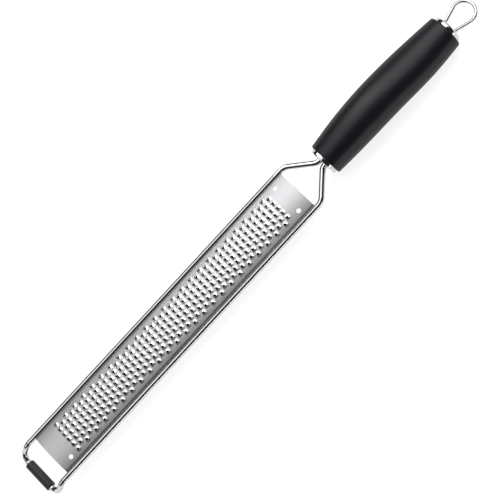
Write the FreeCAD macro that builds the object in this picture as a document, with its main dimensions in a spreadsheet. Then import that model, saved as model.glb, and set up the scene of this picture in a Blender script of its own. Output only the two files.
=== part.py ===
import FreeCAD, Part
import math
import os
import Sketcher
from FreeCAD import Placement, Rotation, Vector

# Fine hand grater. One bent steel wire carries a crowned blade with pressed teeth, and its two
# legs run into a moulded handle that has a steel cap at each end and a hanging loop.
# X runs along the tool with the foot at -X and the loop at +X, Y is across it, Z is up, and the
# table is at z = 0. Lengthwise places are worked out from the face of the front cap.

# Driving sizes in millimetres and degrees: alias, value, meaning
SIZES = [
    ("shoulder_x", 65.3, "face of the front cap, from the origin"),
    ("fit", 0.05, "clearance all round a seated piece"),
    ("wire_d", 4.0, "frame wire diameter"),
    ("wire_spread", 33.8, "side wires, centre to centre"),
    ("foot_drop", 8.63, "side wires to the front bar, in height"),
    ("foot_angle", 45.0, "slope of the wire down to the front bar"),
    ("foot_bend_r", 5.0, "bend where the wire turns down"),
    ("foot_corner_r", 6.3, "bend at each end of the front bar"),
    ("toe_gap", 15.46, "front edge of the blade to the axis of the front bar"),
    ("neck_lead", 2.2, "front cap face to the corner of the leg"),
    ("neck_angle", 42.5, "slope of the wire across the neck"),
    ("neck_rise", 0.5, "handle legs above the side wires"),
    ("neck_side_r", 8.0, "bend from side wire to neck"),
    ("neck_leg_r", 6.0, "bend from neck to leg"),
    ("leg_pitch", 4.5, "legs, centre to centre"),
    ("leg_depth", 62.0, "leg length behind the front cap face"),
    ("sleeve_d", 6.5, "foot sleeve outside diameter"),
    ("sleeve_length", 21.0, "foot sleeve length"),
    ("sleeve_edge", 0.4, "foot sleeve edge chamfer"),
    ("blade_length", 224.2, "blade length"),
    ("blade_heel", 4.3, "corner of the side wire to the rear edge of the blade"),
    ("blade_t", 0.5, "blade sheet"),
    ("crown_r", 57.0, "radius of the blade's crown across the tool"),
    ("edge_rise", 1.18, "blade edge above the side wires' centres"),
    ("flange_depth", 3.0, "height of the blade's folded flanges"),
    ("fold_r", 0.9, "outside radius of the blade's folds"),
    ("tooth_pitch", 4.09, "tooth columns along the blade"),
    ("row_pitch", 4.2, "teeth along a column, on the crown"),
    ("rear_margin", 16.2, "rear edge of the blade to the first cutting edges"),
    ("front_margin", 14.6, "least distance from the last column to the front edge"),
    ("side_margin", 4.3, "least distance from a column's end to the blade's edge"),
    ("tooth_length", 2.3, "raised lip, along the blade"),
    ("tooth_width", 2.5, "raised lip, across"),
    ("tooth_edge", 1.3, "cutting edge, across"),
    ("tooth_height", 0.95, "cutting edge above the sheet"),
    ("mouth_front", 0.9, "opening in front of the cutting edge"),
    ("mouth_back", 0.95, "opening under the lip, along the blade"),
    ("mouth_width", 1.3, "opening at the sheet's top, across"),
    ("mouth_edge", 0.8, "opening under the cutting edge, across"),
    ("mouth_height", 0.62, "opening under the cutting edge, in height"),
    ("hole_d", 3.1, "round holes near the blade's ends"),
    ("hole_side", 10.6, "round holes from the middle line"),
    ("hole_front", 8.6, "front round hole from the blade's front edge"),
    ("hole_rear", 9.0, "rear round holes from the blade's rear edge"),
    ("front_cap_d", 19.8, "front cap diameter"),
    ("front_cap_t", 2.5, "front cap depth"),
    ("front_cap_edge", 0.6, "outer edge of the front cap"),
    ("cap_wall", 0.8, "steel of both caps"),
    ("end_cap_d", 19.4, "end cap diameter"),
    ("end_cap_rim", 2.6, "end cap depth at its rim"),
    ("end_cap_dome", 1.3, "rise of the end cap's dome"),
    ("end_cap_edge", 1.8, "outer edge of the end cap"),
    ("grip_length", 107.8, "handle between the caps, along the tool"),
    ("front_w", 23.4, "handle width at the front cap"),
    ("front_h", 20.6, "handle height at the front cap"),
    ("palm_w", 26.9, "handle width at the front quarter"),
    ("palm_h", 22.6, "handle height at the front quarter"),
    ("palm_at", 22.4, "front quarter, from the handle's front"),
    ("palm_rise", 2.2, "front quarter above the handle's front"),
    ("belly_w", 28.4, "handle width at its fullest"),
    ("belly_h", 23.2, "handle height at its fullest"),
    ("belly_at", 55.0, "fullest section, from the handle's front"),
    ("belly_rise", 2.6, "fullest section above the handle's front"),
    ("heel_w", 27.6, "handle width before the end"),
    ("heel_h", 21.6, "handle height before the end"),
    ("heel_back", 23.6, "section before the end, from the handle's end"),
    ("heel_rise", -0.7, "section before the end above the handle's front"),
    ("end_w", 23.85, "handle width at the end cap"),
    ("end_h", 20.4, "handle height at the end cap"),
    ("end_rise", -1.95, "handle end above the handle's front"),
    ("tail_tilt", 4.0, "handle end, turned down"),
    ("grip_front_r", 1.0, "edge at the handle's front"),
    ("grip_end_r", 1.1, "edge at the handle's end"),
    ("loop_wire_d", 2.4, "hanging loop wire"),
    ("loop_leg_pitch", 9.0, "loop legs, centre to centre"),
    ("loop_leg_depth", 14.0, "loop legs inside the handle"),
    ("loop_flare", 16.5, "slope of the loop's sides"),
    ("loop_leg_r", 5.0, "bend where the loop opens"),
    ("loop_bow_r", 7.5, "bow of the loop, at the wire's centre"),
]

# The blade's crown is folded in this many flats, an odd number so that the middle one is level
CROWN_FLATS = 7

# Places that several pieces share, as expressions on the sheet
SIDE_Z = "(sizes.foot_drop + sizes.sleeve_d / 2)"
LEG_Z = f"({SIDE_Z} + sizes.neck_rise)"
NECK_X = "(sizes.shoulder_x - sizes.neck_lead)"
NECK_RUN = "((sizes.wire_spread - sizes.leg_pitch) / 2 / tan(sizes.neck_angle))"
CORNER_X = f"({NECK_X} - {NECK_RUN})"
BLADE_REAR_X = f"({CORNER_X} - sizes.blade_heel)"
BLADE_FRONT_X = f"({BLADE_REAR_X} - sizes.blade_length)"
BAR_X = f"({BLADE_FRONT_X} - sizes.toe_gap)"
BLADE_W = "(sizes.wire_spread - sizes.wire_d - 2 * sizes.fit)"
CROWN_Z = f"({SIDE_Z} + sizes.edge_rise - sqrt(sizes.crown_r ^ 2 - ({BLADE_W} / 2) ^ 2))"
GRIP_X = "(sizes.shoulder_x + sizes.front_cap_t)"
GRIP_END_X = f"({GRIP_X} + sizes.grip_length)"
GRIP_END_Z = f"({LEG_Z} + sizes.end_rise)"
LEG_HOLE_R = "(sizes.wire_d / 2 + sizes.fit)"
LOOP_HOLE_R = "(sizes.loop_wire_d / 2 + sizes.fit)"

doc = FreeCAD.newDocument("Grater")
sheet = doc.addObject("Spreadsheet::Sheet", "sizes")
for row, (alias, value, meaning) in enumerate(SIZES, start=1):
    sheet.set(f"A{row}", alias)
    sheet.set(f"B{row}", str(value))
    sheet.set(f"C{row}", meaning)
    sheet.setAlias(f"B{row}", alias)
doc.recompute()


def worth(expression):
    """The number that an expression on the sheet gives now."""
    return float(sheet.evalExpression(expression))


def size(alias):
    """The value of one driving size."""
    return worth(f"sizes.{alias}")


def bind(item, **expressions):
    """Ties properties of an object to the driving sizes; __ in a name stands for a dot."""
    for name, expression in expressions.items():
        item.setExpression(name.replace("__", "."), expression)


def origin_plane(body, role):
    """One of a body's own origin planes."""
    return next(f for f in body.Origin.OriginFeatures if f.Role == role)


def new_body(name, label):
    body = doc.addObject("PartDesign::Body", name)
    body.Label = label
    return body


def plane_sketch(body, name, role):
    """A sketch on one of the body's own origin planes."""
    sketch = body.newObject("Sketcher::SketchObject", name)
    sketch.AttachmentSupport = (origin_plane(body, role), [""])
    sketch.MapMode = "FlatFace"
    return sketch


def cross_sketch(body, name, x, z, tilt=None):
    """A sketch across the tool: its own axes are Y and Z, and its centre is at (x, 0, z)."""
    sketch = plane_sketch(body, name, "YZ_Plane")
    if tilt:
        sketch.AttachmentOffset = Placement(Vector(), Rotation(Vector(1, 0, 0), worth(tilt)))
        bind(sketch, AttachmentOffset__Rotation__Angle=tilt)
    bind(sketch, AttachmentOffset__Base__y=z, AttachmentOffset__Base__z=x)
    return sketch


def rule(sketch, kind, *where):
    """A geometric constraint of a sketch."""
    return sketch.addConstraint(Sketcher.Constraint(kind, *where))


def dimension(sketch, kind, *where_and_expression):
    """A sketch dimension that follows an expression on the driving sizes."""
    *where, expression = where_and_expression
    index = rule(sketch, kind, *where, worth(expression))
    sketch.setExpression(f"Constraints[{index}]", expression)


def outline(sketch, points):
    """A closed outline of straight lines through the points; returns the lines' indices."""
    ends = points[1:] + points[:1]
    lines = [Part.LineSegment(Vector(*a, 0), Vector(*b, 0)) for a, b in zip(points, ends)]
    indices = [sketch.addGeometry(line, False) for line in lines]
    for index, following in zip(indices, indices[1:] + indices[:1]):
        rule(sketch, "Coincident", index, 2, following, 1)
    return indices


def circle(sketch, radius, x=None, y=None, x_side=1, y_side=1):
    """A circle whose radius and place are expressions; a place left out lies on the axis."""
    centre = Vector(x_side * worth(x) if x else 0, y_side * worth(y) if y else 0, 0)
    ring = Part.Circle(centre, Vector(0, 0, 1), worth(radius))
    index = sketch.addGeometry(ring, False)
    dimension(sketch, "Radius", index, radius)
    if x is None and y is None:
        rule(sketch, "Coincident", index, 3, -1, 1)
    for kind, place, side, axis in (("DistanceX", x, x_side, -2), ("DistanceY", y, y_side, -1)):
        if place:
            ends = (-1, 1, index, 3) if side > 0 else (index, 3, -1, 1)
            dimension(sketch, kind, *ends, place)
        elif x or y:
            rule(sketch, "PointOnObject", index, 3, axis)


def oval(sketch, width, height):
    """An ellipse about the sketch's centre."""
    shape = Part.Ellipse(Vector(worth(width) / 2, 0, 0), Vector(0, worth(height) / 2, 0), Vector())
    index = sketch.addGeometry(shape, False)
    sketch.exposeInternalGeometry(index)
    major = index + 1
    minor = index + 2
    rule(sketch, "Coincident", index, 3, -1, 1)
    rule(sketch, "Horizontal", major)
    dimension(sketch, "Distance", major, width)
    dimension(sketch, "Distance", minor, height)


def slot(sketch, pitch, radius):
    """A stadium outline round two circles on the sketch's horizontal axis."""
    reach = worth(pitch) / 2
    r = worth(radius)
    quarter = math.pi / 2
    shapes = (
        Part.ArcOfCircle(Part.Circle(Vector(reach, 0, 0), Vector(0, 0, 1), r), -quarter, quarter),
        Part.LineSegment(Vector(reach, r, 0), Vector(-reach, r, 0)),
        Part.ArcOfCircle(Part.Circle(Vector(-reach, 0, 0), Vector(0, 0, 1), r), quarter, 3 * quarter),
        Part.LineSegment(Vector(-reach, -r, 0), Vector(reach, -r, 0)),
    )
    right, top, left, bottom = (sketch.addGeometry(shape, False) for shape in shapes)
    for index, following in ((right, top), (top, left), (left, bottom), (bottom, right)):
        rule(sketch, "Tangent", index, 2, following, 1)
    rule(sketch, "Horizontal", top)
    rule(sketch, "Symmetric", right, 3, left, 3, -1, 1)
    dimension(sketch, "DistanceX", left, 3, right, 3, pitch)
    dimension(sketch, "Radius", right, radius)


def feature(body, kind, name, profile=None, **expressions):
    """A feature of a body on a sketch, with its sizes bound."""
    item = body.newObject(f"PartDesign::{kind}", name)
    if profile:
        item.Profile = profile
    bind(item, **expressions)
    return item


def through_cut(body, name, profile):
    """Cuts a sketch's outline through the whole body, both ways."""
    pocket = feature(body, "Pocket", name, profile)
    pocket.Type = "ThroughAll"
    pocket.Midplane = True
    return pocket


def turned(body, name, profile):
    """Revolves a sketch round its own horizontal axis."""
    revolution = feature(body, "Revolution", name, profile)
    revolution.ReferenceAxis = (profile, ["H_Axis"])
    revolution.Angle = 360
    doc.recompute()
    return revolution


def dressed(body, kind, name, base, test, **expressions):
    """A fillet or chamfer on those edges of the base whose ends and middle pass a test."""
    names = []
    for number, edge in enumerate(base.Shape.Edges, start=1):
        middle = edge.valueAt((edge.FirstParameter + edge.LastParameter) / 2)
        if all(test(point) for point in [v.Point for v in edge.Vertexes] + [middle]):
            names.append(f"Edge{number}")
    item = feature(body, kind, name, **expressions)
    item.Base = (base, names)
    doc.recompute()
    return item


def rounded_path(corners, radii):
    """A wire through the corners, with a tangent arc of the given radius at each inner one."""
    edges = []
    start = corners[0]
    for before, corner, after, radius in zip(corners, corners[1:], corners[2:], radii):
        arriving = (corner - before).normalize()
        leaving = (after - corner).normalize()
        half_turn = arriving.getAngle(leaving) / 2
        enter = corner - arriving * radius * math.tan(half_turn)
        depart = corner + leaving * radius * math.tan(half_turn)
        inward = (leaving - arriving).normalize()
        middle = corner + inward * (radius / math.cos(half_turn) - radius)
        if enter.distanceToPoint(start) > 1e-6:
            edges.append(Part.LineSegment(start, enter).toShape())
        edges.append(Part.Arc(enter, middle, depart).toShape())
        start = depart
    edges.append(Part.LineSegment(start, corners[-1]).toShape())
    return Part.Wire(edges)


def bent_wire(name, label, half, radii, diameter):
    """Round wire swept along half a path of straight runs and bends and its mirror image."""
    mirrored = [Vector(p.x, -p.y, p.z) for p in reversed(half)]
    path = doc.addObject("Part::Feature", f"{name}Path")
    path.Shape = rounded_path(half + mirrored, radii + radii[::-1])
    section = doc.addObject("Part::Circle", f"{name}Section")
    bind(section, Radius=f"{diameter} / 2")
    section.Placement = Placement(half[0], Rotation(Vector(0, 0, 1), half[1] - half[0]))
    sweep = doc.addObject("Part::Sweep", name)
    sweep.Label = label
    sweep.Sections = [section]
    sweep.Spine = (path, [f"Edge{i + 1}" for i in range(len(path.Shape.Edges))])
    sweep.Solid = True
    return sweep


def make_wire_frame():
    """One wire: leg, neck, side, front bar, and back again."""
    side = size("wire_spread") / 2
    leg = size("leg_pitch") / 2
    side_z = worth(SIDE_Z)
    leg_z = worth(LEG_Z)
    toe_x = worth(f"{BAR_X} + sizes.foot_drop / tan(sizes.foot_angle)")
    half = [
        Vector(worth("sizes.shoulder_x + sizes.leg_depth"), leg, leg_z),
        Vector(worth(NECK_X), leg, leg_z),
        Vector(worth(CORNER_X), side, side_z),
        Vector(toe_x, side, side_z),
        Vector(worth(BAR_X), side, side_z - size("foot_drop")),
    ]
    radii = [size(r) for r in ("neck_leg_r", "neck_side_r", "foot_bend_r", "foot_corner_r")]
    return bent_wire("WireFrame", "wire_frame", half, radii, "sizes.wire_d")


def make_foot_sleeve():
    """Rubber tube on the middle of the front bar."""
    body = new_body("FootSleeve", "foot_sleeve")
    rings = plane_sketch(body, "SleeveRings", "XZ_Plane")
    bind(rings, AttachmentOffset__Base__x=BAR_X, AttachmentOffset__Base__y="sizes.sleeve_d / 2")
    circle(rings, "sizes.sleeve_d / 2")
    circle(rings, LEG_HOLE_R)
    tube = feature(body, "Pad", "SleeveTube", rings, Length="sizes.sleeve_length")
    tube.Midplane = True
    doc.recompute()
    outside = size("sleeve_d") / 2
    end = size("sleeve_length") / 2
    axis = Vector(worth(BAR_X), 0, outside)

    def on_rim(point):
        across = math.hypot(point.x - axis.x, point.z - axis.z)
        return abs(across - outside) < 0.01 and abs(abs(point.y) - end) < 0.01

    dressed(body, "Chamfer", "SleeveEdges", tube, on_rim, Size="sizes.sleeve_edge")
    return body


def crown_points(radius, width):
    """Corners of the crown's flats across the blade, left to right, with the edges at height 0."""
    lean = math.asin(width / 2 / radius)
    angles = [lean * (2 * i / CROWN_FLATS - 1) for i in range(CROWN_FLATS + 1)]
    drop = radius * math.cos(lean)
    return [(radius * math.sin(a), radius * math.cos(a) - drop) for a in angles]


def crown_rules(sketch, flats, radius, width, centre=None):
    """Keeps flats equal, level in the middle, as wide as the blade and on a circle."""
    ring = Part.Circle(Vector(0, -worth(radius), 0), Vector(0, 0, 1), worth(radius))
    guide = sketch.addGeometry(ring, True)
    for flat in flats:
        rule(sketch, "PointOnObject", flat, 1, guide)
    rule(sketch, "PointOnObject", flats[-1], 2, guide)
    for flat in flats[1:]:
        rule(sketch, "Equal", flats[0], flat)
    rule(sketch, "Horizontal", flats[len(flats) // 2])
    if centre is None:
        rule(sketch, "PointOnObject", guide, 3, -2)
    else:
        rule(sketch, "Coincident", guide, 3, centre, 3)
    dimension(sketch, "Radius", guide, radius)
    return guide


def blade_profile(body):
    """Section of the blade: a crowned sheet with a flange folded down at each long edge."""
    outer_w = BLADE_W
    inner_w = f"({BLADE_W} - 2 * sizes.blade_t)"
    inner_r = "(sizes.crown_r - sizes.blade_t)"
    edge = size("edge_rise")
    foot = edge - size("flange_depth")
    half = worth(outer_w) / 2
    inner_half = worth(inner_w) / 2
    inner_edge = edge - math.sqrt(size("crown_r") ** 2 - half**2)
    inner_edge += math.sqrt(worth(inner_r) ** 2 - inner_half**2)
    top = [(y, z + edge) for y, z in crown_points(size("crown_r"), worth(outer_w))]
    under = [(y, z + inner_edge) for y, z in crown_points(worth(inner_r), worth(inner_w))]
    right_foot = [(half, foot), (inner_half, foot)]
    left_foot = [(-inner_half, foot), (-half, foot)]
    sketch = cross_sketch(body, "BladeProfile", BLADE_FRONT_X, SIDE_Z)
    lines = outline(sketch, top + right_foot + under[::-1] + left_foot)
    top_flats = lines[:CROWN_FLATS]
    right_out, right_base, right_in = lines[CROWN_FLATS : CROWN_FLATS + 3]
    under_flats = lines[CROWN_FLATS + 3 : 2 * CROWN_FLATS + 3]
    left_in, left_base, left_out = lines[2 * CROWN_FLATS + 3 :]
    guide = crown_rules(sketch, top_flats, "sizes.crown_r", outer_w)
    crown_rules(sketch, under_flats, inner_r, inner_w, guide)
    dimension(sketch, "DistanceX", top_flats[0], 1, top_flats[-1], 2, outer_w)
    dimension(sketch, "DistanceX", under_flats[-1], 2, under_flats[0], 1, inner_w)
    for upright in (right_out, right_in, left_in, left_out):
        rule(sketch, "Vertical", upright)
    for level in (right_base, left_base):
        rule(sketch, "Horizontal", level)
    rule(sketch, "Horizontal", right_base, 1, left_base, 2)
    dimension(sketch, "DistanceY", right_out, 2, right_out, 1, "sizes.flange_depth")
    dimension(sketch, "DistanceY", -1, 1, top_flats[0], 1, "sizes.edge_rise")
    return sketch


def make_blade_sheet():
    """The blade before its teeth: sheet, folds and round holes."""
    body = new_body("BladeSheet", "blade_sheet")
    profile = blade_profile(body)
    pad = feature(body, "Pad", "BladePad", profile, Length="sizes.blade_length")
    doc.recompute()
    half = worth(BLADE_W) / 2
    edge_z = worth(f"{SIDE_Z} + sizes.edge_rise")

    def on_fold(point):
        return abs(abs(point.y) - half) < 0.01 and abs(point.z - edge_z) < 0.01

    dressed(body, "Fillet", "BladeFolds", pad, on_fold, Radius="sizes.fold_r")
    holes = plane_sketch(body, "RoundHoles", "XY_Plane")
    bind(holes, AttachmentOffset__Base__x=BLADE_REAR_X, AttachmentOffset__Base__z=SIDE_Z)
    front = "(sizes.blade_length - sizes.hole_front)"
    for back, side in (("sizes.hole_rear", 1), ("sizes.hole_rear", -1), (front, -1)):
        circle(holes, "sizes.hole_d / 2", back, "sizes.hole_side", x_side=-1, y_side=side)
    through_cut(body, "RoundHoleCuts", holes)
    return body


def wedge(name, front, back, base_width, edge_width, bottom, top):
    """A roof-shaped solid: its ridge lies across the blade over x = 0, its base is at the bottom."""
    item = doc.addObject("Part::Wedge", name)
    bind(
        item,
        Xmin=front,
        Xmax=back,
        X2min="0",
        X2max="0",
        Ymin=bottom,
        Ymax=top,
        Zmin=f"-{base_width} / 2",
        Zmax=f"{base_width} / 2",
        Z2min=f"-{edge_width} / 2",
        Z2max=f"{edge_width} / 2",
    )
    return item


def make_tooth():
    """One tooth: a raised lip, and the mouth that opens in front of its edge and hollows it.

    Both have their slopes through the sizes that they have at the sheet's top, carried on down
    to a root in the sheet for the lip, and past its underside for the mouth.
    """
    root = "(1 + sizes.blade_t / 2 / sizes.tooth_height)"
    lip = wedge(
        "ToothLip",
        "0",
        f"sizes.tooth_length * {root}",
        f"(sizes.tooth_edge + (sizes.tooth_width - sizes.tooth_edge) * {root})",
        "sizes.tooth_edge",
        "-sizes.blade_t / 2",
        "sizes.tooth_height",
    )
    through = "(1.3 * sizes.blade_t)"
    root = f"(1 + {through} / sizes.mouth_height)"
    mouth = wedge(
        "ToothMouth",
        f"-sizes.mouth_front * {root}",
        f"sizes.mouth_back * {root}",
        f"(sizes.mouth_edge + (sizes.mouth_width - sizes.mouth_edge) * {root})",
        "sizes.mouth_edge",
        f"-{through}",
        "sizes.mouth_height",
    )
    doc.recompute()
    return lip, mouth


def tooth_places():
    """Where each tooth stands: columns along the blade with one tooth more in every other one."""
    radius = size("crown_r")
    arc = 2 * radius * math.asin(worth(BLADE_W) / 2 / radius)
    most_rows = int((arc - 2 * size("side_margin")) / size("row_pitch")) + 1
    run = size("blade_length") - size("rear_margin") - size("front_margin")
    first_x = worth(f"{BLADE_REAR_X} - sizes.rear_margin")
    for column in range(int(run / size("tooth_pitch")) + 1):
        rows = most_rows - 1 + column % 2
        for row in range(rows):
            lean = (row - (rows - 1) / 2) * size("row_pitch") / radius
            x = first_x - column * size("tooth_pitch")
            z = worth(CROWN_Z) + radius * math.cos(lean)
            upright = Rotation(Vector(1, 0, 0), 90 + math.degrees(lean))
            yield Placement(Vector(x, -radius * math.sin(lean), z), upright)


def make_blade():
    """The sheet with every lip raised on it and every mouth cut through it."""
    sheet_body = make_blade_sheet()
    lip, mouth = make_tooth()
    places = list(tooth_places())
    raised = []
    cut = []
    for place in places:
        for copies, master in ((raised, lip), (cut, mouth)):
            copy = master.Shape.copy()
            copy.Placement = place
            copies.append(copy)
    blade = doc.addObject("Part::Feature", "Blade")
    blade.Label = "blade"
    blade.Shape = sheet_body.Shape.fuse(raised).cut(cut)
    return blade


def leg_slot(body, name):
    """The outline of both wire legs side by side, with clearance, in the front cap's face."""
    sketch = cross_sketch(body, name, "sizes.shoulder_x", LEG_Z)
    slot(sketch, "sizes.leg_pitch", LEG_HOLE_R)
    return sketch


def loop_holes(sketch):
    """Holes for both loop legs, with clearance, on the sketch's horizontal axis."""
    for side in (1, -1):
        circle(sketch, LOOP_HOLE_R, "sizes.loop_leg_pitch / 2", x_side=side)


def make_front_cap():
    """Drawn steel cup over the handle's front spigot, with a slot for both wire legs."""
    body = new_body("FrontCap", "front_cap")
    sketch = plane_sketch(body, "FrontCapProfile", "XZ_Plane")
    bind(sketch, AttachmentOffset__Base__x="sizes.shoulder_x", AttachmentOffset__Base__y=LEG_Z)
    depth = size("front_cap_t")
    wall = size("cap_wall")
    outer = size("front_cap_d") / 2
    inner = outer - wall
    corners = [(0, 0), (0, outer), (depth, outer), (depth, inner), (wall, inner), (wall, 0)]
    face, skin, rim, bore, floor, axis = outline(sketch, corners)
    for upright in (face, rim, floor):
        rule(sketch, "Vertical", upright)
    for level in (skin, bore, axis):
        rule(sketch, "Horizontal", level)
    rule(sketch, "Coincident", face, 1, -1, 1)
    dimension(sketch, "DistanceX", skin, 1, skin, 2, "sizes.front_cap_t")
    dimension(sketch, "DistanceY", face, 1, face, 2, "sizes.front_cap_d / 2")
    dimension(sketch, "DistanceY", rim, 2, rim, 1, "sizes.cap_wall")
    dimension(sketch, "DistanceX", axis, 2, axis, 1, "sizes.cap_wall")
    cup = turned(body, "FrontCapCup", sketch)
    face_x = size("shoulder_x")
    middle_z = worth(LEG_Z)

    def on_edge(point):
        return abs(point.x - face_x) < 0.01 and math.hypot(point.y, point.z - middle_z) > inner

    dressed(body, "Fillet", "FrontCapEdge", cup, on_edge, Radius="sizes.front_cap_edge")
    through_cut(body, "FrontCapSlotCut", leg_slot(body, "FrontCapSlot"))
    return body


def make_grip():
    """Moulded handle: a loft through five ovals, with a spigot for a cap at each end."""
    body = new_body("Grip", "grip")
    stations = [
        ("End", GRIP_END_X, GRIP_END_Z, "end", "sizes.tail_tilt"),
        ("Heel", f"{GRIP_END_X} - sizes.heel_back", f"{LEG_Z} + sizes.heel_rise", "heel", None),
        ("Belly", f"{GRIP_X} + sizes.belly_at", f"{LEG_Z} + sizes.belly_rise", "belly", None),
        ("Palm", f"{GRIP_X} + sizes.palm_at", f"{LEG_Z} + sizes.palm_rise", "palm", None),
        ("Front", GRIP_X, LEG_Z, "front", None),
    ]
    ovals = []
    for name, x, z, section, tilt in stations:
        sketch = cross_sketch(body, f"{name}Oval", x, z, tilt)
        oval(sketch, f"sizes.{section}_w", f"sizes.{section}_h")
        ovals.append(sketch)
    loft = feature(body, "AdditiveLoft", "GripLoft", ovals[0])
    loft.Sections = ovals[1:]
    doc.recompute()
    front_x = worth(GRIP_X)
    tail = tail_placement().inverse()
    front = dressed(
        body,
        "Fillet",
        "GripFrontEdge",
        loft,
        lambda point: abs(point.x - front_x) < 0.01,
        Radius="sizes.grip_front_r",
    )
    dressed(
        body,
        "Fillet",
        "GripEndEdge",
        front,
        lambda point: abs(tail.multVec(point).x) < 0.01,
        Radius="sizes.grip_end_r",
    )
    for name, x, z, diameter, depth, tilt in (
        ("FrontSpigot", GRIP_X, LEG_Z, "front_cap_d", "front_cap_t", None),
        ("EndSpigot", GRIP_END_X, GRIP_END_Z, "end_cap_d", "end_cap_rim", "sizes.tail_tilt"),
    ):
        spigot = cross_sketch(body, name, x, z, tilt)
        circle(spigot, f"sizes.{diameter} / 2 - sizes.cap_wall - sizes.fit")
        length = f"sizes.{depth} - sizes.cap_wall - sizes.fit"
        pad = feature(body, "Pad", f"{name}Pad", spigot, Length=length)
        pad.Reversed = name == "FrontSpigot"
    slot_cut = feature(
        body, "Pocket", "LegSlotCut", leg_slot(body, "LegSlot"), Length="sizes.leg_depth + sizes.fit"
    )
    slot_cut.Reversed = True
    for name, depth, outward in (
        ("LoopBores", "sizes.loop_leg_depth + sizes.fit", False),
        ("SpigotBores", "sizes.end_cap_rim", True),
    ):
        bores = cross_sketch(body, name, GRIP_END_X, GRIP_END_Z, "sizes.tail_tilt")
        loop_holes(bores)
        feature(body, "Pocket", f"{name}Cut", bores, Length=depth).Reversed = outward
    return body


def tail_placement():
    """The frame of the handle's end face: X out of it along the handle, turned down with it."""
    middle = Vector(worth(GRIP_END_X), 0, worth(GRIP_END_Z))
    return Placement(middle, Rotation(Vector(0, 1, 0), size("tail_tilt")))


def make_end_cap():
    """Domed steel cup over the handle's end spigot, with two holes for the loop's legs."""
    body = new_body("EndCap", "end_cap")
    body.Placement = tail_placement()
    bind(
        body,
        Placement__Base__x=GRIP_END_X,
        Placement__Base__z=GRIP_END_Z,
        Placement__Rotation__Angle="sizes.tail_tilt",
    )
    sketch = plane_sketch(body, "EndCapProfile", "XZ_Plane")
    rim = size("end_cap_rim")
    dome = size("end_cap_dome")
    floor_x = rim - size("cap_wall")
    outer = size("end_cap_d") / 2
    inner = outer - size("cap_wall")
    dome_r = (outer**2 + dome**2) / (2 * dome)
    ball = Part.Circle(Vector(rim + dome - dome_r, 0, 0), Vector(0, 0, 1), dome_r)
    shapes = (
        Part.LineSegment(Vector(0, inner, 0), Vector(0, outer, 0)),
        Part.LineSegment(Vector(0, outer, 0), Vector(rim, outer, 0)),
        Part.ArcOfCircle(ball, 0, math.asin(outer / dome_r)),
        Part.LineSegment(Vector(rim + dome, 0, 0), Vector(floor_x, 0, 0)),
        Part.LineSegment(Vector(floor_x, 0, 0), Vector(floor_x, inner, 0)),
        Part.LineSegment(Vector(floor_x, inner, 0), Vector(0, inner, 0)),
    )
    lip, skin, crown, axis, floor, bore = (sketch.addGeometry(shape, False) for shape in shapes)
    for pair in (
        (lip, 2, skin, 1),
        (skin, 2, crown, 2),
        (crown, 1, axis, 1),
        (axis, 2, floor, 1),
        (floor, 2, bore, 1),
        (bore, 2, lip, 1),
    ):
        rule(sketch, "Coincident", *pair)
    for upright in (lip, floor):
        rule(sketch, "Vertical", upright)
    for level in (skin, bore):
        rule(sketch, "Horizontal", level)
    for point in ((crown, 3), (crown, 1), (floor, 1)):
        rule(sketch, "PointOnObject", *point, -1)
    rule(sketch, "PointOnObject", lip, 2, -2)
    dimension(sketch, "DistanceY", -1, 1, lip, 2, "sizes.end_cap_d / 2")
    dimension(sketch, "DistanceY", lip, 1, lip, 2, "sizes.cap_wall")
    dimension(sketch, "DistanceX", skin, 1, skin, 2, "sizes.end_cap_rim")
    dimension(sketch, "DistanceX", bore, 2, bore, 1, "sizes.end_cap_rim - sizes.cap_wall")
    dimension(sketch, "DistanceX", -1, 1, crown, 1, "sizes.end_cap_rim + sizes.end_cap_dome")
    cup = turned(body, "EndCapCup", sketch)

    def on_edge(point):
        return abs(point.x - rim) < 0.01 and math.hypot(point.y, point.z) > inner

    dressed(body, "Fillet", "EndCapEdge", cup, on_edge, Radius="sizes.end_cap_edge")
    holes = plane_sketch(body, "EndCapHoles", "YZ_Plane")
    loop_holes(holes)
    through_cut(body, "EndCapHoleCuts", holes)
    return body


def make_hanging_loop():
    """Thin wire with both legs in the handle's end, flared to a round bow."""
    flare = math.radians(size("loop_flare"))
    leg = size("loop_leg_pitch") / 2
    bow = size("loop_bow_r")
    cap_face = size("end_cap_rim") + size("end_cap_dome")
    open_x = cap_face + size("loop_leg_r") * math.tan(flare / 2)
    bow_corner = bow * math.tan((math.pi / 2 + flare) / 2)
    tip_x = open_x + (bow_corner - leg) / math.tan(flare)
    side = [(-size("loop_leg_depth"), leg), (open_x, leg), (tip_x, bow_corner)]
    tail = tail_placement()
    half = [tail.multVec(Vector(x, y, 0)) for x, y in side]
    radii = [size("loop_leg_r"), bow]
    return bent_wire("HangingLoop", "hanging_loop", half, radii, "sizes.loop_wire_d")


pieces = [
    make_wire_frame(),
    make_blade(),
    make_foot_sleeve(),
    make_grip(),
    make_front_cap(),
    make_end_cap(),
    make_hanging_loop(),
]
doc.recompute()

failed = [item.Name for item in doc.Objects if {"Invalid", "Error"} & set(item.State)]
if failed:
    raise RuntimeError(f"features that failed: {failed}")
for piece in pieces:
    if piece.Shape.isNull() or not piece.Shape.isValid() or len(piece.Shape.Solids) != 1:
        raise RuntimeError(f"{piece.Label} is not one valid solid")

os.makedirs("parts", exist_ok=True)
for piece in pieces:
    piece.Shape.exportStep(f"parts/{piece.Label}.step")
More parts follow.
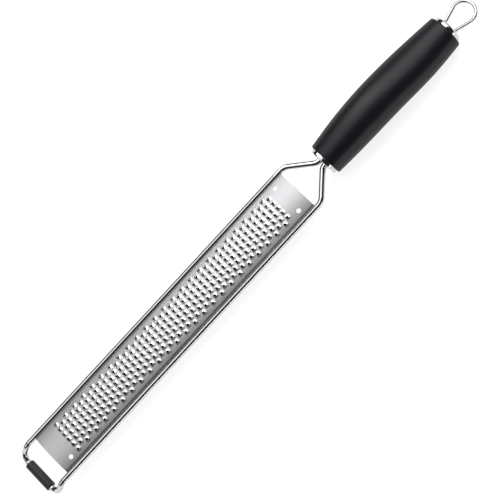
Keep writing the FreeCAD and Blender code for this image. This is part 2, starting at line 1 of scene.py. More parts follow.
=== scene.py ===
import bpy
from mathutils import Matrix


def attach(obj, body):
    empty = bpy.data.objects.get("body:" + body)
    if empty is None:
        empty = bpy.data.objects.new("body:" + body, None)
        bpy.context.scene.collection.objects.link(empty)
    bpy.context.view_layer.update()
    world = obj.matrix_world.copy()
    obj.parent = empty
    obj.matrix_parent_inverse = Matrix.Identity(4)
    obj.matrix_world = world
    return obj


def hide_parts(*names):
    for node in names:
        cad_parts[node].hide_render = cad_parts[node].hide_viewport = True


bl_info = {
    "name": "Fine hand grater",
    "version": (1, 0, 0),
    "blender": (4, 5, 0),
    "location": "3D View > Sidebar > Grater",
    "description": "Surfaces, finishes, light and camera for a long fine hand grater",
    "category": "Object",
}

import bmesh
import bpy
import numpy as np
from mathutils import Matrix, Vector

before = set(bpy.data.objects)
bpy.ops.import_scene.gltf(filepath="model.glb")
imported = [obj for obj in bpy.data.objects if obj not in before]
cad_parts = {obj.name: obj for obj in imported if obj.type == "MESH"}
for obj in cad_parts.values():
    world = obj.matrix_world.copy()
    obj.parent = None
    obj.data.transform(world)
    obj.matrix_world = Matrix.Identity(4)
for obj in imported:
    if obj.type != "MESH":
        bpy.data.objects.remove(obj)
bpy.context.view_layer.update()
MM = 0.001
HAIR = 0.01 * MM  # taken off round surfaces, so that they stay inside the solid model's facets
FIT = 0.05 * MM  # clearance all round between pieces that are fixed together
SAME_POINT = 0.002 * MM  # points nearer than this are one point
SECTIONS = 5  # sections that give the handle its form
DISC_RINGS = 3  # rings of points that close a wire's or the handle's end
MAP_RADIUS = 10 * MM  # radius at which a turned piece's map has its true size


def make_piece(name, points, faces, uv, material, sharp=40.0, values=None):
    """A piece at the origin from point and face arrays, smooth up to the sharp angle.

    Points that fall together, as at a seam or a pole, are joined, while the map keeps its own
    value at each face's corner. Further values are named numbers, one for each point.
    """
    mesh = bpy.data.meshes.new(name)
    mesh.from_pydata(points, [], faces)
    layer = mesh.uv_layers.new(name="UVMap")
    corners = np.empty(len(mesh.loops), dtype=np.int32)
    mesh.loops.foreach_get("vertex_index", corners)
    layer.data.foreach_set("uv", uv[corners].astype(np.float32).ravel())
    for key, numbers in (values or {}).items():
        item = mesh.attributes.new(key, "FLOAT", "POINT")
        item.data.foreach_set("value", numbers.astype(np.float32))
    shell = bmesh.new()
    shell.from_mesh(mesh)
    bmesh.ops.remove_doubles(shell, verts=shell.verts, dist=SAME_POINT)
    shell.to_mesh(mesh)
    shell.free()
    mesh.polygons.foreach_set("use_smooth", np.ones(len(mesh.polygons), dtype=bool))
    mesh.set_sharp_from_angle(angle=np.radians(sharp))
    sides = np.empty(len(mesh.loops), dtype=np.int32)
    mesh.loops.foreach_get("edge_index", sides)
    crisp = np.empty(len(mesh.edges), dtype=bool)
    mesh.edges.foreach_get("use_edge_sharp", crisp)
    crisp |= np.bincount(sides, minlength=len(mesh.edges)) == 1
    mesh.edges.foreach_set("use_edge_sharp", crisp)
    mesh.materials.append(material)
    piece = bpy.data.objects.new(name, mesh)
    bpy.context.scene.collection.objects.link(piece)
    return piece


def settle(piece, node):
    """The piece rides on the object and stands for its CAD node, which is hidden."""
    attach(piece, "root")
    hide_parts(node)


def grid_faces(rows, columns, closed=False):
    """Quads of a grid of rows x columns points; closed joins the last column to the first."""
    row = np.arange(rows - 1)[:, None] * columns
    column = np.arange(columns if closed else columns - 1)[None, :]
    following = (column + 1) % columns
    a = row + column
    b = row + following
    return np.stack([a, b, b + columns, a + columns], axis=-1).reshape(-1, 4)


def unit(vectors):
    return vectors / np.linalg.norm(vectors, axis=-1, keepdims=True)


def rounded(corners, radii, count):
    """Points along straight runs joined by arcs.

    At each inner corner the arc of the given radius touches both runs. Its points are the
    centre plus the radius times a direction that turns evenly from the first run to the next.
    The count gives the number of points from the arc's length.
    """
    corners = np.asarray(corners, dtype=float)
    parts = [corners[:1]]
    for before, corner, after, radius in zip(corners, corners[1:], corners[2:], radii):
        arriving = unit(corner - before)
        leaving = unit(after - corner)
        turn = np.arccos(np.clip(arriving @ leaving, -1.0, 1.0))
        start = corner - arriving * radius * np.tan(turn / 2)
        inward = unit(leaving - arriving * (arriving @ leaving))
        angles = np.linspace(0.0, turn, count(radius * turn))[:, None]
        centre = start + inward * radius
        parts.append(centre + radius * (np.sin(angles) * arriving - np.cos(angles) * inward))
    parts.append(corners[-1:])
    return np.concatenate(parts)


def rounded_path(corners, radii, step):
    """A wire's middle line, with a point at each step round its bends."""
    return rounded(corners, radii, lambda arc: max(6, int(arc / step) + 1))


def rounded_profile(corners, radii, steps=7):
    """A turned piece's profile, with the same number of points round each corner."""
    return rounded(corners, radii, lambda arc: steps)


def wire_surface(path, radius, around):
    """Round wire: a circle carried along the path, with a flat disc at each end.

    Each circle lies across the path's own direction, with its first axis level.
    Returns points, faces and a map of length along by length around.
    """
    along = unit(np.gradient(path, axis=0))
    sideways = unit(np.cross(along, [0.0, 0.0, 1.0]))
    upright = np.cross(sideways, along)
    turn = np.linspace(0.0, 2 * np.pi, around + 1)
    ring = np.cos(turn)[None, :, None] * sideways[:, None]
    ring = ring + np.sin(turn)[None, :, None] * upright[:, None]
    body = path[:, None] + radius * ring
    run = np.concatenate([[0.0], np.cumsum(np.linalg.norm(np.diff(path, axis=0), axis=1))])
    cut = np.linspace(0.97, 0.0, DISC_RINGS)
    first = path[0] + radius * cut[:, None, None] * ring[0]
    last = path[-1] + radius * cut[:, None, None] * ring[-1]
    points = np.concatenate([first[::-1], body, last])
    runs = np.concatenate([np.zeros(DISC_RINGS), run, np.full(DISC_RINGS, run[-1])])
    uv = np.stack(np.broadcast_arrays(runs[:, None], radius * turn[None, :]), axis=-1)
    faces = grid_faces(len(points), around + 1)[:, ::-1]
    return points.reshape(-1, 3), faces, uv.reshape(-1, 2)


def turned_surface(profile, origin, axis, side, around):
    """Surface of revolution: the profile's (along, radius) pairs carried round the axis.

    A point is the origin, plus the first number along the axis, plus the second in a direction
    that turns evenly round the axis, starting from the side.
    """
    axis = np.asarray(axis, dtype=float)
    side = np.asarray(side, dtype=float)
    third = np.cross(axis, side)
    turn = np.linspace(0.0, 2 * np.pi, around + 1)
    ring = np.cos(turn)[:, None] * side + np.sin(turn)[:, None] * third
    points = np.asarray(origin) + profile[:, None, :1] * axis + profile[:, None, 1:] * ring[None]
    run = np.concatenate([[0.0], np.cumsum(np.linalg.norm(np.diff(profile, axis=0), axis=1))])
    uv = np.stack(np.broadcast_arrays(run[:, None], MAP_RADIUS * turn[None, :]), axis=-1)
    faces = grid_faces(len(profile), around + 1)[:, ::-1]
    return points.reshape(-1, 3), faces, uv.reshape(-1, 2)


class Socket:
    """A shader socket with arithmetic: an expression on values adds its Math nodes."""

    def __init__(self, finish, socket):
        self.finish = finish
        self.socket = socket

    def _math(self, operation, *values):
        return self.finish.node("ShaderNodeMath", {"operation": operation}, dict(enumerate(values)))

    def __add__(self, other):
        return self._math("ADD", self, other)

    def __sub__(self, other):
        return self._math("SUBTRACT", self, other)

    def __mul__(self, other):
        return self._math("MULTIPLY", self, other)

    __radd__ = __add__
    __rmul__ = __mul__

    def between(self, low, high):
        """0 below low, 1 above high, smooth in between."""
        values = {"Value": self, "From Min": low, "From Max": high}
        return self.finish.node("ShaderNodeMapRange", {"interpolation_type": "SMOOTHSTEP"}, values)


class Finish:
    """A node material, built from expressions."""

    def __init__(self, name):
        self.material = bpy.data.materials.new(name)
        self.material.use_nodes = True
        self.tree = self.material.node_tree
        self.tree.nodes.clear()

    def node(self, kind, options=None, values=None, output=0):
        """Adds a node: its options first, then the values or links of its sockets."""
        item = self.tree.nodes.new(kind)
        for key, value in (options or {}).items():
            setattr(item, key, value)
        for key, value in (values or {}).items():
            target = item.inputs[key]
            if isinstance(value, Socket):
                self.tree.links.new(value.socket, target)
            else:
                target.default_value = value
        return Socket(self, item.outputs[output]) if item.outputs else None

    def place(self, kind="Object"):
        coordinates = self.node("ShaderNodeTexCoord")
        return Socket(self, coordinates.socket.node.outputs[kind])

    def stretched(self, source, scale, turn=(0.0, 0.0, 0.0)):
        return self.node("ShaderNodeMapping", None, {"Vector": source, "Scale": scale, "Rotation": turn})

    def noise(self, source, scale, detail=2.0, roughness=0.5):
        values = {"Vector": source, "Scale": scale, "Detail": detail, "Roughness": roughness}
        return self.node("ShaderNodeTexNoise", None, values)

    def mixed(self, factor, first, second):
        values = {0: factor, 6: first, 7: second}
        return self.node("ShaderNodeMix", {"data_type": "RGBA"}, values, output=2)

    def bump(self, height, strength, distance):
        values = {"Height": height, "Strength": strength, "Distance": distance}
        return self.node("ShaderNodeBump", None, values)

    def surface(self, **values):
        """The Principled shader with these sockets; _ in a name stands for a space."""
        sockets = {key.replace("_", " "): value for key, value in values.items()}
        shader = self.node("ShaderNodeBsdfPrincipled", None, sockets)
        self.node("ShaderNodeOutputMaterial", None, {"Surface": shader})
        return self.material


def rgb(color, gain=1.0):
    return (color[0] * gain, color[1] * gain, color[2] * gain, 1.0)


PAINTED_SHADE_HEIGHTS = (12.4 * MM, 13.2 * MM)  # heights between which the painted shade on the flanges and folds fades out
# Colour of the painted highlight on the raised lips
PAINTED_LIP_HIGHLIGHT = (0.9, 0.9, 0.89)


def polished_wire(name, color, roughness):
    """Drawn and polished steel: long fine die lines along the wire, faint cloudy polish."""
    finish = Finish(name)
    flat = finish.place("UV")
    lines = finish.noise(finish.stretched(flat, (60.0, 9000.0, 1.0)), 1.0, 3.0, 0.6)
    cloud = finish.noise(finish.place(), 90.0, 2.0)
    scuff = finish.noise(finish.stretched(flat, (900.0, 2600.0, 1.0)), 1.0, 2.0).between(0.62, 0.74)
    return finish.surface(
        Base_Color=finish.mixed(cloud, rgb(color, 0.9), rgb(color, 1.06)),
        Metallic=1.0,
        Roughness=roughness + 0.04 * lines + 0.03 * cloud + 0.04 * scuff,
        Normal=finish.bump(lines, 0.04, 0.00003),
    )


def brushed_blade(color):
    """Satin sheet: short grain along the blade, faint cloud, lips brightened by a painted highlight.

    A dark tint of painted shade lies on the flanges and fades out up the folds, in the groove beside the
    wires.
    """
    finish = Finish("blade_satin")
    place = finish.place()
    grain = finish.noise(finish.stretched(place, (260.0, 5200.0, 2000.0)), 1.0, 4.0, 0.65)
    cloud = finish.noise(place, 38.0, 3.0, 0.55)
    # How high the lip stands, as a share: the mask of the painted highlight
    height = finish.node("ShaderNodeAttribute", {"attribute_name": "lip"}, output=2)
    shade = finish.mixed(cloud, rgb(color, 0.93), rgb(color, 1.05))
    shade = finish.mixed(grain.between(0.3, 0.75) * 0.35, shade, rgb(color, 0.86))
    # Painted shade: below these heights the colour darkens to 0.12 of itself, where the groove beside
    # the wires lies in shade.
    high = finish.node("ShaderNodeSeparateXYZ", None, {"Vector": place}, output=2)
    shade = finish.mixed(high.between(*PAINTED_SHADE_HEIGHTS), rgb(color, 0.12), shade)
    return finish.surface(
        # The raised lips take the painted highlight's colour
        Base_Color=finish.mixed(height, shade, rgb(PAINTED_LIP_HIGHLIGHT)),
        Metallic=1.0,
        Roughness=0.33 + 0.10 * grain + 0.05 * cloud - 0.10 * height,
        Normal=finish.bump(grain, 0.22, 0.00008),
    )


def painted_shade_black(name):
    """Nearly black, a little uneven: painted shade inside the teeth's mouths and on the sheet's cut
    edges.
    """
    finish = Finish(name)
    grit = finish.noise(finish.place(), 2500.0, 3.0)
    return finish.surface(
        Base_Color=finish.mixed(grit, rgb((0.004, 0.004, 0.004)), rgb((0.02, 0.02, 0.02))),
        Metallic=0.0,
        Roughness=0.85 + 0.1 * grit,
    )


def satin_handle(color):
    """Moulded black plastic with a fine spark-eroded grain and slightly worn high parts."""
    finish = Finish("handle_satin")
    place = finish.place()
    grain = finish.noise(place, 2600.0, 3.0, 0.6)
    cloud = finish.noise(finish.stretched(place, (14.0, 30.0, 30.0)), 1.0, 3.0)
    rub = finish.noise(finish.stretched(place, (60.0, 420.0, 420.0)), 1.0, 2.0).between(0.55, 0.8)
    edge = finish.node("ShaderNodeLayerWeight", None, {"Blend": 0.5}, output=1)
    return finish.surface(
        Base_Color=finish.mixed(cloud, rgb(color, 0.85), rgb(color, 1.2)),
        Metallic=0.0,
        Roughness=0.31 + 0.08 * cloud + 0.05 * grain - 0.03 * rub + 0.3 * edge * edge,
        Specular_IOR_Level=0.33,
        Normal=finish.bump(grain, 0.18, 0.00006),
    )


def foot_rubber(color):
    """Black rubber tube: dull, with a soft mottle and fine lines round it."""
    finish = Finish("foot_rubber")
    place = finish.place()
    mottle = finish.noise(place, 700.0, 4.0, 0.6)
    rings = finish.noise(finish.stretched(place, (120.0, 3200.0, 120.0)), 1.0, 2.0)
    return finish.surface(
        Base_Color=finish.mixed(mottle, rgb(color, 0.8), rgb(color, 1.3)),
        Metallic=0.0,
        Roughness=0.42 + 0.15 * mottle,
        Specular_IOR_Level=0.35,
        Normal=finish.bump(0.6 * mottle + 0.4 * rings, 0.3, 0.0001),
    )


def length(name, description, value, **more):
    """A length property; its default is given in millimetres."""
    return bpy.props.FloatProperty(
        name=name, description=description, default=value * MM, unit="LENGTH", precision=5, **more
    )


def lengths(name, description, values):
    """A length property with one value for each of the handle's sections, in millimetres."""
    return bpy.props.FloatVectorProperty(
        name=name,
        description=description,
        default=[value * MM for value in values],
        size=SECTIONS,
        unit="LENGTH",
        precision=5,
    )


def angle(name, description, degrees):
    return bpy.props.FloatProperty(
        name=name, description=description, default=np.radians(degrees), subtype="ANGLE"
    )


def level(name, description, value):
    return bpy.props.FloatProperty(name=name, description=description, default=value, min=0.0)


def tint(name, description, value):
    return bpy.props.FloatVectorProperty(
        name=name, description=description, default=value, size=3, min=0.0, max=1.0, subtype="COLOR"
    )


class WireSettings(bpy.types.PropertyGroup):
    shoulder_x: length("Cap face", "Face of the front cap, from the origin", 65.3)
    wire: length("Wire", "Frame wire diameter", 4.0)
    spread: length("Spread", "Side wires, centre to centre", 33.8)
    side_z: length("Side height", "Side wires' centres above the table", 11.88)
    neck_lead: length("Neck lead", "Front cap face to the corner of the leg", 2.2)
    neck_angle: angle("Neck slope", "Slope of the wire across the neck", 42.5)
    neck_rise: length("Neck rise", "Handle legs above the side wires", 0.5)
    neck_side_r: length("Side bend", "Bend from side wire to neck", 8.0)
    neck_leg_r: length("Leg bend", "Bend from neck to leg", 6.0)
    leg_pitch: length("Leg pitch", "Legs, centre to centre", 4.5)
    leg_depth: length("Leg depth", "Leg length behind the front cap face", 62.0)
    foot_drop: length("Foot drop", "Side wires to the front bar, in height", 8.63)
    foot_angle: angle("Foot slope", "Slope of the wire down to the front bar", 45.0)
    foot_bend_r: length("Foot bend", "Bend where the wire turns down", 5.0)
    foot_corner_r: length("Foot corner", "Bend at each end of the front bar", 6.3)
    toe_gap: length("Toe gap", "Front edge of the blade to the axis of the front bar", 15.46)
    steel: tint("Steel", "Colour of the polished wire", (0.58, 0.58, 0.585))

    def neck_x(self):
        return self.shoulder_x - self.neck_lead

    def corner_x(self):
        return self.neck_x() - (self.spread - self.leg_pitch) / 2 / np.tan(self.neck_angle)


class BladeSettings(bpy.types.PropertyGroup):
    length: length("Length", "Blade length", 224.2)
    heel: length("Heel", "Corner of the side wire to the rear edge of the blade", 4.3)
    sheet: length("Sheet", "Blade sheet thickness", 0.5)
    crown_r: length("Crown", "Radius of the crown across the blade", 57.0)
    edge_rise: length("Edge rise", "Blade edge above the side wires' centres", 1.18)
    flange: length("Flange", "Height of the folded flanges", 3.0)
    fold_r: length("Fold", "Outside radius of the folds", 0.9)
    pitch: length("Tooth pitch", "Tooth columns along the blade", 4.09)
    row_pitch: length("Row pitch", "Teeth along a column", 4.2)
    rear_margin: length("Rear margin", "Rear edge to the solid blade's first cutting edges", 16.2)
    mouth: length("Mouth", "Diameter of a tooth's mouth", 1.4)
    mouth_shift: length("Mouth shift", "Mouth from the middle of its tooth's patch", 0.6)
    lip_height: length("Lip height", "Cutting edge above the sheet", 0.68)
    lip_length: length("Lip length", "Raised lip from its cutting edge to the sheet behind", 2.45)
    lip_width: length("Lip width", "Half the raised lip across", 1.3)
    hole: length("Hole", "Round holes near the blade's ends", 3.1)
    hole_side: length("Hole side", "Round holes from the middle line", 10.6)
    hole_front: length("Front hole", "Front round hole from the front edge", 8.6)
    hole_rear: length("Rear holes", "Rear round holes from the rear edge", 9.0)
    steel: tint("Steel", "Colour of the satin sheet", (0.42, 0.42, 0.43))


class HandleSettings(bpy.types.PropertyGroup):
    places: lengths("Places", "The sections, from the handle's front", (0.0, 22.4, 55.0, 84.2, 107.8))
    rises: lengths("Rises", "The sections' middles above the legs", (0.0, 2.2, 2.6, -0.7, -1.95))
    widths: lengths("Widths", "The sections' widths", (23.4, 26.9, 28.4, 27.6, 23.85))
    heights: lengths("Heights", "The sections' heights", (20.6, 22.6, 23.2, 21.6, 20.4))
    cap_depth: length("Front cap", "Front cap depth", 2.5)
    cap_d: length("Front cap diameter", "Front cap diameter", 19.8)
    end_cap_d: length("End cap diameter", "End cap diameter", 19.4)
    end_cap_depth: length("End cap", "End cap depth at its rim", 2.6)
    end_cap_dome: length("End cap dome", "Rise of the end cap's dome", 1.3)
    tail_tilt: angle("Tail tilt", "Handle end, turned down", 4.0)
    front_r: length("Front edge", "Edge at the handle's front", 1.0)
    end_r: length("End edge", "Edge at the handle's end", 1.1)
    plastic: tint("Plastic", "Colour of the handle", (0.006, 0.0065, 0.0095))
    steel: tint("Cap steel", "Colour of the polished caps", (0.6, 0.6, 0.605))


class LoopSettings(bpy.types.PropertyGroup):
    """The hanging loop, and the sleeve at the other end"""

    wire: length("Wire", "Loop wire diameter", 2.4)
    leg_pitch: length("Leg pitch", "Loop legs, centre to centre", 9.0)
    leg_depth: length("Leg depth", "Loop legs inside the handle", 14.0)
    flare: angle("Flare", "Slope of the loop's sides", 16.5)
    leg_r: length("Leg bend", "Bend where the loop opens", 5.0)
    bow_r: length("Bow", "Bow of the loop, at the wire's centre", 7.5)
    sleeve_d: length("Sleeve", "Foot sleeve outside diameter", 6.5)
    sleeve_length: length("Sleeve length", "Foot sleeve length", 21.0)
    rubber: tint("Rubber", "Colour of the foot sleeve", (0.02, 0.02, 0.021))


class StageSettings(bpy.types.PropertyGroup):
    floor: tint("Floor", "Colour of the floor", (0.93, 0.93, 0.93))
    far_level: level("Far box", "Brightness of the soft box above the far side", 1.35)
    loop_level: level("Loop end box", "Brightness of the soft box past the hanging loop", 2.5)
    rear_level: level("Rear box", "Brightness of the narrow box over the blade's rear", 4.6)
    near_level: level("Near box", "Brightness of the low soft box on the near side", 3.8)
    foot_level: level("Foot end box", "Brightness of the soft box past the foot", 0.9)
    room: level("Room", "Brightness of the dark room round the boxes", 0.025)


def settings(key):
    return getattr(bpy.context.scene, f"grater_{key}")


def blade_rear_x():
    wire = settings("wire")
    return wire.corner_x() - settings("blade").heel


def bar_x():
    return blade_rear_x() - settings("blade").length - settings("wire").toe_gap


def handle_stations():
    """The handle's sections: place along, height of the middle, width and height."""
    wire = settings("wire")
    handle = settings("handle")
    front = wire.shoulder_x + handle.cap_depth
    leg_z = wire.side_z + wire.neck_rise
    along = front + np.array(handle.places)
    return along, leg_z + np.array(handle.rises), np.array(handle.widths), np.array(handle.heights)


def smooth_through(places, values, at):
    """Cubic spline through the values, with free ends, worked out for all places at once."""
    step = np.diff(places)
    slope = np.diff(values) / step
    count = len(places)
    system = np.eye(count)
    right = np.zeros(count)
    inner = np.arange(1, count - 1)
    system[inner, inner - 1] = step[:-1]
    system[inner, inner] = 2 * (step[:-1] + step[1:])
    system[inner, inner + 1] = step[1:]
    right[inner] = 6 * np.diff(slope)
    bend = np.linalg.solve(system, right)
    k = np.clip(np.searchsorted(places, at) - 1, 0, count - 2)
    t = at - places[k]
    first = slope[k] - step[k] * (2 * bend[k] + bend[k + 1]) / 6
    return values[k] + t * (first + t * (bend[k] / 2 + t * (bend[k + 1] - bend[k]) / (6 * step[k])))


class GRATER_OT_wire_frame(bpy.types.Operator):
    """The bent steel wire: legs, neck, sides and front bar"""

    bl_idname = "grater.wire_frame"
    bl_label = "Wire frame"

    def execute(self, context):
        wire = settings("wire")
        side = wire.spread / 2
        leg = wire.leg_pitch / 2
        leg_z = wire.side_z + wire.neck_rise
        toe_x = bar_x() + wire.foot_drop / np.tan(wire.foot_angle)
        half = np.array(
            [
                (wire.shoulder_x + wire.leg_depth, leg, leg_z),
                (wire.neck_x(), leg, leg_z),
                (wire.corner_x(), side, wire.side_z),
                (toe_x, side, wire.side_z),
                (bar_x(), side, wire.side_z - wire.foot_drop),
            ]
        )
        radii = [wire.neck_leg_r, wire.neck_side_r, wire.foot_bend_r, wire.foot_corner_r]
        whole = np.concatenate([half, half[::-1] * [1.0, -1.0, 1.0]])
        path = rounded_path(whole, radii + radii[::-1], 0.6 * MM)
        points, faces, uv = wire_surface(path, wire.wire / 2 - HAIR, 40)
        steel = polished_wire("wire_polish", wire.steel, 0.03)
        piece = make_piece("frame_wire", points, faces, uv, steel, sharp=60.0)
        settle(piece, "wire_frame")
        return {"FINISHED"}


class GRATER_OT_blade(bpy.types.Operator):
    """The crowned blade with its folds, round holes and raised teeth"""

    bl_idname = "grater.blade"
    bl_label = "Blade"

    columns = 48
    most_rows = 6
    per_side = 4  # steps along each side of a tooth's patch
    edge_share = 0.45  # mouth's middle to the cutting edge in front of it, in mouth diameters
    lip_front = 0.45 * MM  # cutting edge to the sheet in front
    mouth_ahead = 0.45 * MM  # mouth's middle in front of the solid blade's cutting edge
    painted_highlight_height = 0.12 * MM  # height at which a lip has the full colour of its painted highlight

    def crown(self):
        """Half width, height of the crown's centre and lean of the crown at the folds."""
        wire = settings("wire")
        blade = settings("blade")
        half = wire.spread / 2 - wire.wire / 2 - FIT
        centre_z = wire.side_z + blade.edge_rise - np.sqrt(blade.crown_r**2 - half**2)
        lean = np.arcsin((half - blade.fold_r) / (blade.crown_r - blade.fold_r))
        return half, centre_z, lean

    def runs(self):
        """Lengths from the sheet's middle to the fold, round the fold and to the flange's foot."""
        wire = settings("wire")
        blade = settings("blade")
        half, centre_z, lean = self.crown()
        to_fold = blade.crown_r * lean
        fold = blade.fold_r * (np.pi / 2 - lean)
        fold_z = centre_z + (blade.crown_r - blade.fold_r) * np.cos(lean)
        return to_fold, fold, to_fold + fold + fold_z - (wire.side_z + blade.edge_rise - blade.flange)

    def section(self, s):
        """The sheet's outer line across the tool, by length from its middle.

        It is the crown's arc, then an arc of the fold's radius, then straight down. Returns
        the points' y and z and the outward direction's angle from upright.
        """
        blade = settings("blade")
        half, centre_z, lean = self.crown()
        to_fold, fold, foot = self.runs()
        run = np.abs(s)
        crown_tilt = np.minimum(run, to_fold) / blade.crown_r
        tilt = crown_tilt + np.clip(run - to_fold, 0.0, fold) / blade.fold_r
        down = np.maximum(run - to_fold - fold, 0.0)
        fold_z = centre_z + (blade.crown_r - blade.fold_r) * np.cos(lean)
        crown_y = blade.crown_r * np.sin(tilt)
        crown_z = centre_z + blade.crown_r * np.cos(tilt)
        fold_y = half - blade.fold_r + blade.fold_r * np.sin(tilt)
        past = run > to_fold
        y = np.where(past, fold_y, crown_y)
        z = np.where(past, fold_z + blade.fold_r * np.cos(tilt) - down, crown_z)
        return np.sign(s) * y, z, np.sign(s) * tilt

    def laid(self, flat):
        """Points of the sheet from (place along, length across, height over the sheet)."""
        y, z, tilt = self.section(flat[..., 1])
        height = flat[..., 2]
        y = y + height * np.sin(tilt)
        z = z + height * np.cos(tilt)
        return np.stack([flat[..., 0], y, z], axis=-1)

    def lip_height(self, a, b):
        """Height of a tooth over the sheet, at a behind and b beside its mouth's middle.

        From the cutting edge before the mouth a ramp falls evenly over the lip's length, and
        steeply to the sheet in front. Across, the ramp is multiplied by one less the fourth
        power of the distance in lip widths.
        """
        blade = settings("blade")
        back = a + self.edge_share * blade.mouth
        ramp = np.where(back > 0, 1 - back / blade.lip_length, 1 + back / self.lip_front)
        across = 1 - np.abs(b / blade.lip_width) ** 4
        return blade.lip_height * np.clip(ramp, 0.0, 1.0) * np.clip(across, 0.0, 1.0)

    def cells(self, centre, half, middle, radius, rings, lipped):
        """Rectangular patches, each with a round hole: rings between the circle and the border.

        Points lie on straight lines from the circle to the border, at the given shares of the
        way. Works on all patches at once, and returns points and faces.
        """
        t = np.arange(self.per_side) / self.per_side
        one = np.ones(self.per_side)
        border = np.concatenate(
            [
                np.stack([one, 2 * t - 1], axis=1),
                np.stack([1 - 2 * t, one], axis=1),
                np.stack([-one, 1 - 2 * t], axis=1),
                np.stack([2 * t - 1, -one], axis=1),
            ]
        )
        outer = centre[:, None] + border * half
        inner = middle[:, None] + radius * unit(outer - middle[:, None])
        share = np.asarray(rings)[None, :, None, None]
        flat = inner[:, None] * (1 - share) + outer[:, None] * share
        local = flat - middle[:, None, None]
        height = self.lip_height(local[..., 0], local[..., 1]) * lipped
        faces = grid_faces(len(rings), 4 * self.per_side, closed=True)
        first = np.arange(len(centre))[:, None, None] * len(rings) * 4 * self.per_side
        points = np.concatenate([flat, height[..., None]], axis=-1)
        return points.reshape(-1, 3), (faces + first).reshape(-1, 4)

    def plain(self, x_lines, s_lines):
        """A patch without holes: a grid of the lines."""
        x, s = np.meshgrid(x_lines, s_lines, indexing="ij")
        flat = np.stack([x, s, np.zeros_like(x)], axis=-1)
        return flat.reshape(-1, 3), grid_faces(len(x_lines), len(s_lines))

    def teeth(self, first):
        """Middles of the patches and of the mouths: columns of 5 and of 6 teeth by turns."""
        blade = settings("blade")
        number = np.arange(self.columns)
        rows = self.most_rows - 1 + number % 2
        column = np.repeat(number, rows)
        row = np.arange(len(column)) - np.repeat(np.cumsum(rows) - rows, rows)
        lane = (row - (rows[column] - 1) / 2) * blade.row_pitch
        centre = np.stack([first - (column + 0.5) * blade.pitch, lane], axis=-1)
        return centre, centre - [blade.mouth_shift, 0.0]

    def lines(self, start, hole, stop):
        """Lines along the sheet that fit a round hole's patch."""
        half = settings("blade").pitch / 2
        low, high = hole - half, hole + half
        return np.concatenate(
            [
                np.linspace(start, low, self.per_side + 1)[:-1],
                np.linspace(low, high, self.per_side + 1)[:-1],
                np.linspace(high, stop, 7),
            ]
        )

    def short_columns(self, first, lanes, half):
        """The plain patches at both ends of each column that has one tooth less."""
        blade = settings("blade")
        x_step = np.linspace(0.0, blade.pitch, self.per_side + 1)
        s_step = np.linspace(lanes - half[1], lanes, self.per_side // 2 + 1)
        parts = []
        for column in range(0, self.columns, 2):
            x_lines = first - (column + 1) * blade.pitch + x_step
            parts.append(self.plain(x_lines, s_step))
            parts.append(self.plain(x_lines, -s_step[::-1]))
        return parts

    def margins(self, every, lanes):
        """The long strips beside the teeth, round the folds and down the flanges."""
        to_fold, fold, foot = self.runs()
        across = np.concatenate(
            [
                np.linspace(lanes, to_fold, 4)[:-1],
                np.linspace(to_fold, to_fold + fold, 7)[:-1],
                np.linspace(to_fold + fold, foot, 4),
            ]
        )
        return [self.plain(every, across), self.plain(every, -across[::-1])]

    def end_patches(self, along, sides, lanes, half):
        """One end of the sheet between the margins, with a round hole on each of the sides."""
        blade = settings("blade")
        inside = np.linspace(-lanes, lanes, self.most_rows * self.per_side + 1)
        low, high = self.per_side, 2 * self.per_side
        stop = len(inside) - self.per_side if 1 in sides else len(inside)
        hole_x = (along[low] + along[high]) / 2
        hole_s = blade.crown_r * np.arcsin(blade.hole_side / blade.crown_r)
        centre = np.array([(hole_x, side * (lanes - half[1])) for side in sides])
        middle = np.array([(hole_x, side * hole_s) for side in sides])
        return [
            self.plain(along[: low + 1], inside),
            self.plain(along[low : high + 1], inside[self.per_side : stop]),
            self.plain(along[high:], inside),
            self.cells(centre, half, middle, blade.hole / 2, [0.0, 0.12, 0.4, 0.7, 1.0], False),
        ]

    def patches(self):
        """The sheet laid flat, as patches that share their border points, and the mouths' middles."""
        blade = settings("blade")
        rear = blade_rear_x()
        front = rear - blade.length
        half = np.array([blade.pitch, blade.row_pitch]) / 2
        lanes = self.most_rows * half[1]
        first = rear - blade.rear_margin - self.mouth_ahead + blade.mouth_shift + half[0]
        last = first - self.columns * blade.pitch
        centre, middle = self.teeth(first)
        toothed = np.linspace(last, first, self.columns * self.per_side + 1)
        behind = self.lines(first, rear - blade.hole_rear, rear)
        ahead = self.lines(front, front + blade.hole_front, toothed[0])
        every = np.concatenate([ahead[:-1], toothed, behind[1:]])
        rings = [0.0, 0.15, 0.38, 0.66, 1.0]
        parts = [self.cells(centre, half, middle, blade.mouth / 2, rings, True)]
        parts += self.short_columns(first, lanes, half)
        parts += self.margins(every, lanes)
        parts += self.end_patches(behind, (-1, 1), lanes, half)
        parts += self.end_patches(ahead, (-1,), lanes, half)
        return parts, middle

    def bowls(self, middle):
        """Dark bowls that close the teeth's mouths: painted shade inside the holes.

        Each is a cone from a ring inside the sheet down to a point, and a flatter one below it.
        """
        blade = settings("blade")
        around = 12
        overlap = 0.14 * MM
        upper_tip, lower_tip = -0.3 * MM, -0.45 * MM
        turn = np.arange(around) * 2 * np.pi / around
        rim = np.stack([np.cos(turn), np.sin(turn)], axis=-1) * (blade.mouth / 2 + overlap)
        height = self.lip_height(rim[:, 0], rim[:, 1]) - blade.sheet / 2
        points = [(0.0, 0.0, upper_tip), (0.0, 0.0, lower_tip)]
        shape = np.concatenate([np.column_stack([rim, height]), points])
        flat = shape + np.column_stack([middle, np.zeros(len(middle))])[:, None]
        number = np.arange(around)
        following = (number + 1) % around
        upper = np.stack([number, following, np.full(around, around)], axis=-1)
        lower = np.stack([following, number, np.full(around, around + 1)], axis=-1)
        fan = np.concatenate([upper, lower])
        faces = fan + np.arange(len(middle))[:, None, None] * (around + 2)
        return flat.reshape(-1, 3), faces.reshape(-1, 3)

